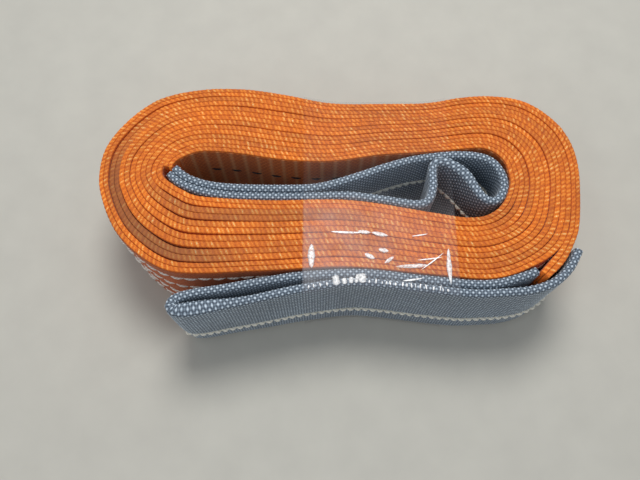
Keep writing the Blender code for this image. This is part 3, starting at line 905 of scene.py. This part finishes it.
def film_band():
    """Thin clear band round the waist, slightly rippled."""
    lo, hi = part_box("packing_film_band")
    xs = np.linspace(lo[0], hi[0], 104)
    count = 300
    low, high, r = lo[2] + 0.02 * MM, hi[2] - 0.02 * MM, 1.6 * MM
    rings, places = [], []
    for x in xs:
        back = reach_y(body, x, np.max) + FILM_CLEAR
        front = reach_y(outer_line, x, np.min) - FILM_CLEAR
        corners = ((back - r, high - r, 0), (front + r, high - r, 1),
                   (front + r, low + r, 2), (back - r, low + r, 3))
        loop = [(y + r * math.cos(t), z + r * math.sin(t)) for y, z, quarter in corners
                for t in math.pi / 2 * (quarter + np.arange(7) / 6)]
        loop = np.array(loop + loop[:1])
        run = run_of(loop)
        at = np.linspace(0, run[-1], count + 1)[:-1]
        rings.append(np.column_stack([np.full(count, x)]
                                     + [np.interp(at, run, loop[:, k]) for k in (0, 1)]))
        places.append(np.column_stack([np.full(count, x), at]))
    rings, places = np.array(rings), np.array(places)
    ahead = np.roll(rings, -1, axis=1) - np.roll(rings, 1, axis=1)
    out = np.stack([0 * ahead[..., 0], ahead[..., 2], -ahead[..., 1]], axis=-1)
    out /= np.maximum(np.linalg.norm(out, axis=-1, keepdims=True), 1e-12)
    make = np.random.default_rng(131)
    x, y, z = rings[..., 0], rings[..., 1], rings[..., 2]
    ripple = 0.0
    for _ in range(16):
        way, phase = make.uniform(-1, 1, 2) * 900, make.uniform(0, 2 * math.pi)
        ripple = ripple + 0.012 * MM * np.sin(way[0] * x + way[1] * (y + z) * 0.6 + phase)
    skin = rings + out * (ripple - 0.1 * MM)[..., None]
    lining = skin - out * FILM_THIN
    # The film's opacity is painted sheen: strongest on the front left of the top, where the light is
    # reflected, faint on the rest.
    top = np.clip((z - (high - 2 * MM)) / (1 * MM), 0, 1)
    frontward = 1 / (1 + np.exp((y + 4 * MM) / (3 * MM)))
    leftward = 0.45 + 0.55 / (1 + np.exp((x - 20 * MM) / (8 * MM)))
    painted_sheen = top * (0.008 + 0.075 * frontward * leftward) + (1 - top) * 0.012
    n, m = rings.shape[:2]
    i, j = np.meshgrid(np.arange(n - 1), np.arange(m), indexing="ij")
    k = (j + 1) % m
    quads = np.stack([i * m + j, i * m + k, (i + 1) * m + k, (i + 1) * m + j], axis=-1).reshape(-1, 4)
    faces = quads.tolist() + (quads[:, ::-1] + n * m).tolist()
    for row, way in ((0, -1), (n - 1, 1)):
        for q in range(m):
            a, b = row * m + q, row * m + (q + 1) % m
            faces.append([a, b, b + n * m, a + n * m][::way])
    obj = mesh_object("clear_film_band", np.vstack([skin.reshape(-1, 3), lining.reshape(-1, 3)]), faces,
                      np.vstack([places.reshape(-1, 2)] * 2), crown=np.concatenate([painted_sheen.ravel()] * 2))
    finish_piece(obj, FILM, node_names=["packing_film_band"])
    return obj, float(places[..., 1].max()), hi[0] - lo[0], hi[2] - 0.12 * MM


def film_lap():
    """Overlapped end of the film on the back."""
    lo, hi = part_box("packing_film_lap")
    xs = np.linspace(lo[0] + 0.5 * MM, hi[0] - 0.5 * MM, 60)
    zs = np.linspace(lo[2], hi[2], 26)
    ys = np.array([reach_y(body, x, np.max) + FILM_CLEAR + 0.28 * MM for x in xs])
    ripple = wobble(60, 9 * MM, 1.0 * MM, 141)[:, None] * wobble(26, 9 * MM, 1.0 * MM, 143)[None, :]
    face = np.stack([np.repeat(xs[:, None], 26, 1), ys[:, None] + 0.12 * MM * ripple,
                     np.repeat(zs[None, :], 60, 0)], axis=-1)
    behind = face[:, ::-1] - np.array((0, FILM_THIN, 0))
    rings = np.concatenate([face, behind], axis=1)
    obj = grid_object("clear_film_lap", rings, np.stack([rings[..., 0], rings[..., 2]], axis=-1),
                      crown=np.full(rings.shape[:2], 0.06))
    return finish_piece(obj, FILM, node_names=["packing_film_lap"])


# long creases of the film on top, shown as painted glints
EDGE_CREASES = ((0.06, 10, 3), (0.94, 15, 2))   # share across the film, length and width (mm)
SCATTERED_CREASES = 11   # how many lie between those two
CREASE_BOW = 0.05        # sideways bow, as a share of the length
CREASE_TAPER = 0.6       # power of the sine that narrows a crease towards its ends
BAR_TAPER = 0.12         # the same for the broad bars of the front edge, which end bluntly


def long_crease(share, behind, heading, length, width):
    """Start, middle and end of one crease, its width and its taper."""
    lo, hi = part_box("packing_film_band")
    x = lo[0] + share * (hi[0] - lo[0])
    start = np.array((x, reach_y(outer_line, x, np.min) - FILM_CLEAR + behind * MM))
    angle = math.radians(heading)
    way = length * MM * np.array((math.cos(angle), math.sin(angle)))
    bow = CREASE_BOW * np.array((way[1], -way[0]))
    return start, start + way / 2 + bow, start + way, width * MM, CREASE_TAPER


def long_creases():
    """An upright crease inside each edge of the film, and slanting ones scattered between."""
    rng = np.random.default_rng(5)
    drawn = [long_crease(share, 20, -90, length, width) for share, length, width in EDGE_CREASES]
    for _ in range(SCATTERED_CREASES):
        share, behind = rng.uniform(0.12, 0.85), rng.uniform(4, 28)
        heading, length, width = rng.uniform(-30, 45), rng.uniform(4, 13), rng.uniform(0.5, 2)
        drawn.append(long_crease(share, behind, heading, length, width))
    return drawn


def front_creases(make):
    """Short bars of painted glint where the film turns over the front edge, broad only on the left of
    the middle.
    """
    out, x = [], -13.0 * MM
    while x < 43 * MM:
        broad = -5 * MM < x < 10 * MM
        wide = make.uniform(1.2, 3.6) * MM if broad else make.uniform(0.25, 0.9) * MM
        long = make.uniform(2.0, 4.2) * MM if broad else make.uniform(1.0, 2.6) * MM
        start = np.array((x + wide / 2, reach_y(outer_line, x, np.min) - 1.0 * MM))
        stop = start + np.array((make.uniform(-0.2, 0.3) * long, long))
        out.append((start, (start + stop) / 2, stop, wide, BAR_TAPER if broad else CREASE_TAPER))
        x += wide + make.uniform(0.3, 0.7) * MM * (1 if broad else 3)
    return out


def creases(level):
    """Raised creases of the film: each a leaf of folded film lying on it, painted white as a glint."""
    make = np.random.default_rng(151)
    drawn = long_creases()
    verts, faces, uvs, edges = [], [], [], []
    for start, mid, stop, width, power in drawn + front_creases(make):
        base = len(verts)
        steps = 11
        handle = (mid + (start + stop) / 2) / 2
        for k in range(steps):
            u = k / (steps - 1)
            p = (1 - u) ** 2 * start + 2 * u * (1 - u) * handle + u * u * stop
            way = 2 * (1 - u) * (handle - start) + 2 * u * (stop - handle)
            side = np.array((-way[1], way[0])) / max(np.linalg.norm(way), 1e-9)
            half = width / 2 * (0.05 + 0.95 * math.sin(math.pi * u) ** power) * make.uniform(0.8, 1.1)
            for a, up in ((1, 0.0), (0.25, 0.10), (-0.3, 0.07), (-1, 0.0), (0, -0.06)):
                q = p + side * half * a
                verts.append((q[0], q[1], level + up * MM * min(1, half / (0.3 * MM))))
                uvs.append((q[0], q[1]))
                edges.append(1.0 if abs(a) == 1 or width < 1.2 * MM else 0.45)
        for k in range(steps - 1):
            for q in range(5):
                r = (q + 1) % 5
                faces.append((base + k * 5 + q, base + k * 5 + r,
                              base + (k + 1) * 5 + r, base + (k + 1) * 5 + q))
        faces.append([base + q for q in range(5)][::-1])
        faces.append([base + (steps - 1) * 5 + q for q in range(5)])
    obj = mesh_object("clear_film_creases_painted_glints", verts, faces, uvs, crown=edges)
    return finish_piece(obj, PAINTED_GLINT)


band, film_round, film_wide, film_top = film_band()
lap = film_lap()
streaks = creases(film_top)


# ---------------------------------------------------------------- stage, light, camera

floor_mesh = bpy.data.meshes.new("floor")
floor_mesh.from_pydata([(-2, -2, 0), (2, -2, 0), (2, 2, 0), (-2, 2, 0)], [], [(0, 1, 2, 3)])
floor = bpy.data.objects.new("floor", floor_mesh)
bpy.context.scene.collection.objects.link(floor)
mat, tree, shader = new_material("pale_board")
grain = node(tree, "ShaderNodeTexNoise", Scale=60.0, Detail=5.0)
place = node(tree, "ShaderNodeTexCoord")
tint = ramp(tree, ((0.3, (0.590, 0.580, 0.525)), (0.7, (0.625, 0.615, 0.555))))
tree.links.new(place.outputs["Object"], grain.inputs["Vector"])
tree.links.new(grain.outputs["Fac"], tint.inputs["Fac"])
tree.links.new(tint.outputs["Color"], shader.inputs["Base Color"])
shader.inputs["Roughness"].default_value = 0.85
floor_mesh.materials.append(mat)


def area_light(name, place, aim, size, power, colour):
    data = bpy.data.lights.new(name, "AREA")
    data.shape = "DISK"
    data.size = size
    data.energy = power
    data.color = colour
    obj = bpy.data.objects.new(name, data)
    obj.location = place
    obj.rotation_mode = "QUATERNION"
    obj.rotation_quaternion = (Vector(aim) - Vector(place)).to_track_quat("-Z", "Y")
    bpy.context.scene.collection.objects.link(obj)


area_light("key", (0.02, 0.22, 0.66), (0.0, 0.02, 0.0), 0.30, 2.7, (1.0, 0.985, 0.96))
area_light("fill", (-0.45, -0.45, 0.70), (0.0, 0.0, 0.0), 0.60, 0.7, (0.93, 0.97, 1.0))
world = bpy.data.worlds.new("studio")
world.use_nodes = True
world.node_tree.nodes["Background"].inputs["Color"].default_value = (0.94, 0.96, 1.0, 1)
world.node_tree.nodes["Background"].inputs["Strength"].default_value = 0.36
bpy.context.scene.world = world
bpy.context.scene.view_settings.view_transform = "Standard"

camera = bpy.data.objects.new("camera", bpy.data.cameras.new("camera"))
camera.data.sensor_width = 36.0
camera.data.lens = 35.4
camera.data.clip_start = 0.01
camera.location = (-0.0081, -0.1109, 0.2865)
camera.rotation_euler = (math.radians(21.0), 0.0, 0.0)
bpy.context.scene.collection.objects.link(camera)
bpy.context.scene.camera = camera
